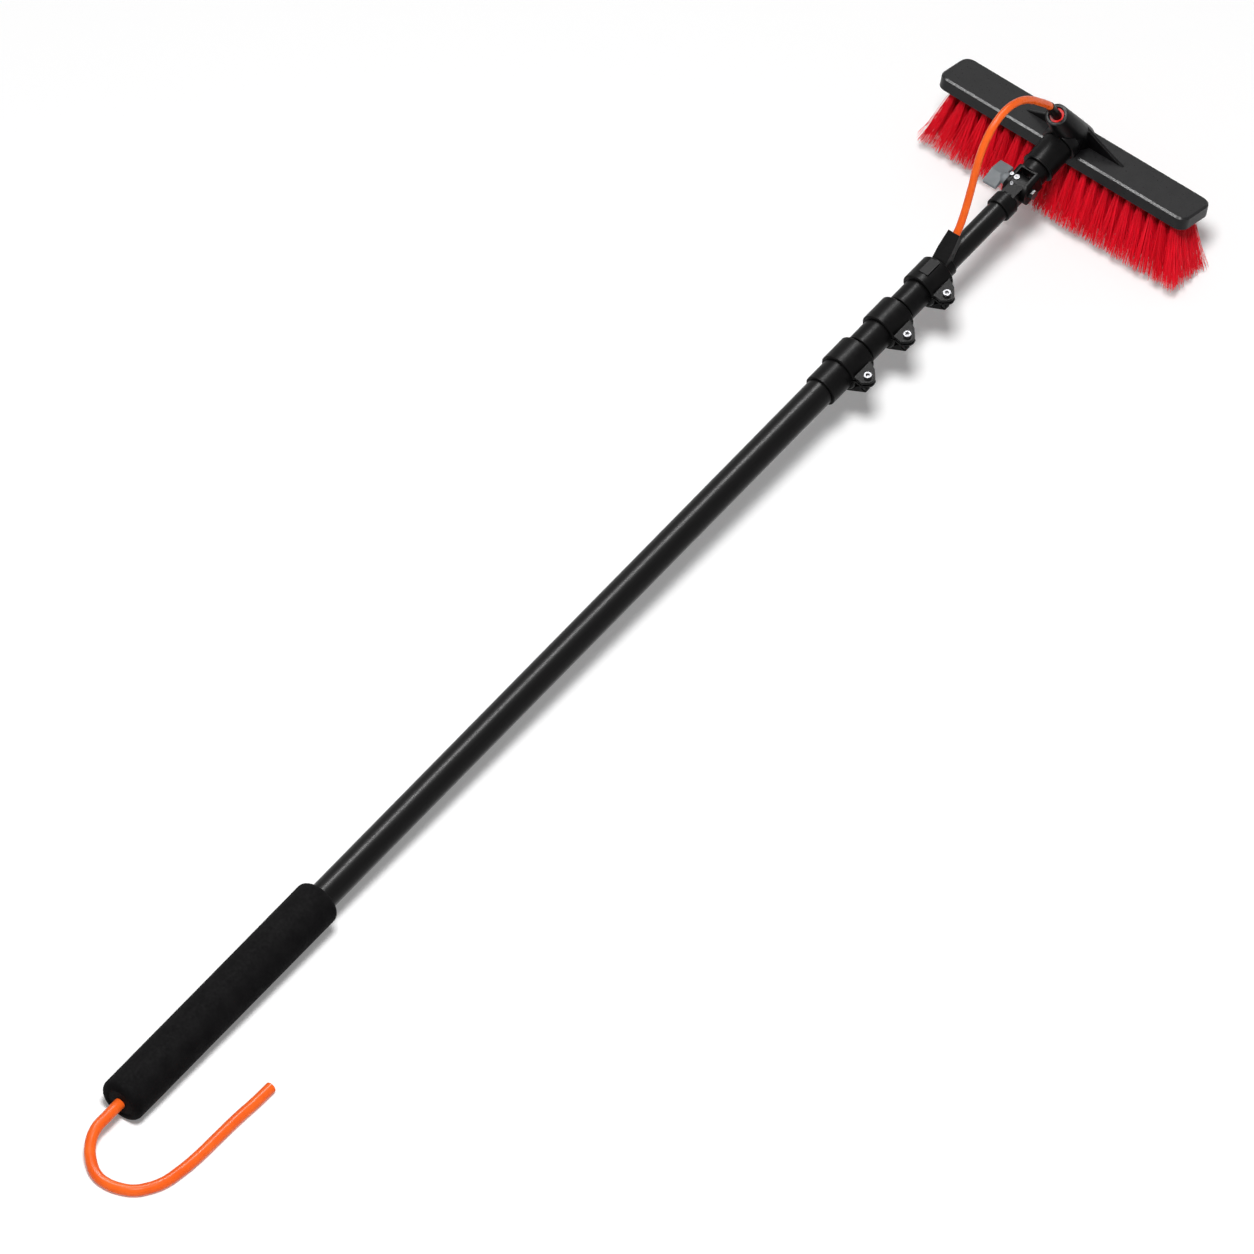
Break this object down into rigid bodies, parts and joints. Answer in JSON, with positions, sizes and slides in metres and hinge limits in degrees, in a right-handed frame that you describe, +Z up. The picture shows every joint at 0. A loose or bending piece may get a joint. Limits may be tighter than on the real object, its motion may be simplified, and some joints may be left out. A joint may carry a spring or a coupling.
{
  "type": "water-fed telescopic wash brush",
  "caption": "Telescopic pole with foam grip, cam clamps and an inner water hose, carrying a tilting wash brush with a long block and flared bristles.",
  "frame": {"origin": "floor level under the middle of the pole and brush, supply hose left out", "axes": "+Y along the pole from grip to brush, +X along the brush, +Z up from the floor that it lies on"},
  "size_m": [0.3342, 1.6444, 0.2451],
  "materials": {
    "foam": "matte foam rubber",
    "tube": "gloss black, anodised",
    "moulding": "satin moulded black",
    "block": "charcoal, fine moulded grain",
    "steel": "bright",
    "grey": "satin grey",
    "hose": "glossy orange vinyl",
    "red": "bright red",
    "bristle": "red filament"
  },
  "bodies": {
    "section_1": {"foam_grip": "foam", "end_plug": "moulding", "supply_hose": "hose", "tube_1": "tube", "collar_1": "moulding", "clamp_band_1": "moulding", "clamp_bolt_1": "steel", "barrel_nut_1": "steel"},
    "section_2": {"tube_2": "tube", "guide_bush_2": "moulding", "collar_2": "moulding", "clamp_band_2": "moulding", "clamp_bolt_2": "steel", "barrel_nut_2": "steel"},
    "section_3": {"tube_3": "tube", "guide_bush_3": "moulding", "collar_3": "moulding", "clamp_band_3": "moulding", "clamp_bolt_3": "steel", "barrel_nut_3": "steel"},
    "section_4": {"tube_4": "tube", "guide_bush_4": "moulding", "hose_boot": "moulding", "inner_hose": "hose", "brush_hose": "hose", "tilt_tongue": "moulding", "tongue_screws": "steel"},
    "lever_1": {"cam_lever_1": "moulding"},
    "lever_2": {"cam_lever_2": "moulding"},
    "lever_3": {"cam_lever_3": "moulding"},
    "head": {"tilt_fork": "moulding", "cheek_screw": "steel", "tilt_bolt": "steel", "knob_washer": "steel", "coupling_sleeve": "moulding", "brush_block": "block", "port_ring": "red", "hose_barb": "moulding", "bristles": "bristle"},
    "knob": {"wing_knob": "grey"}
  },
  "joints": [
    {"name": "slide_2", "type": "slide", "parent": "section_1", "child": "section_2", "axis": [0, 0.9987, 0.0515], "range_m": [0, 1]},
    {"name": "slide_3", "type": "slide", "parent": "section_2", "child": "section_3", "axis": [0, 0.9987, 0.0515], "range_m": [0, 1]},
    {"name": "slide_4", "type": "slide", "parent": "section_3", "child": "section_4", "axis": [0, 0.9987, 0.0515], "range_m": [0, 1]},
    {"name": "lever_flip_1", "type": "hinge", "parent": "section_1", "child": "lever_1", "pos_m": [0.0307, 0.38179, 0.07917], "axis": [0, -0.9987, -0.0515], "range_deg": [0, 110]},
    {"name": "lever_flip_2", "type": "hinge", "parent": "section_2", "child": "lever_2", "pos_m": [0.03, 0.447, 0.08253], "axis": [0, -0.9987, -0.0515], "range_deg": [0, 110]},
    {"name": "lever_flip_3", "type": "hinge", "parent": "section_3", "child": "lever_3", "pos_m": [0.0293, 0.51221, 0.08589], "axis": [0, -0.9987, -0.0515], "range_deg": [0, 110]},
    {"name": "head_tilt", "type": "hinge", "parent": "section_4", "child": "head", "pos_m": [0, 0.66883, 0.0994], "axis": [1, 0, 0], "range_deg": [-90, 90], "deforming": ["brush_hose"]},
    {"name": "knob_turn", "type": "hinge", "parent": "head", "child": "knob", "pos_m": [-0.026, 0.66883, 0.0994], "axis": [1, 0, 0], "continuous": true}
  ]
}
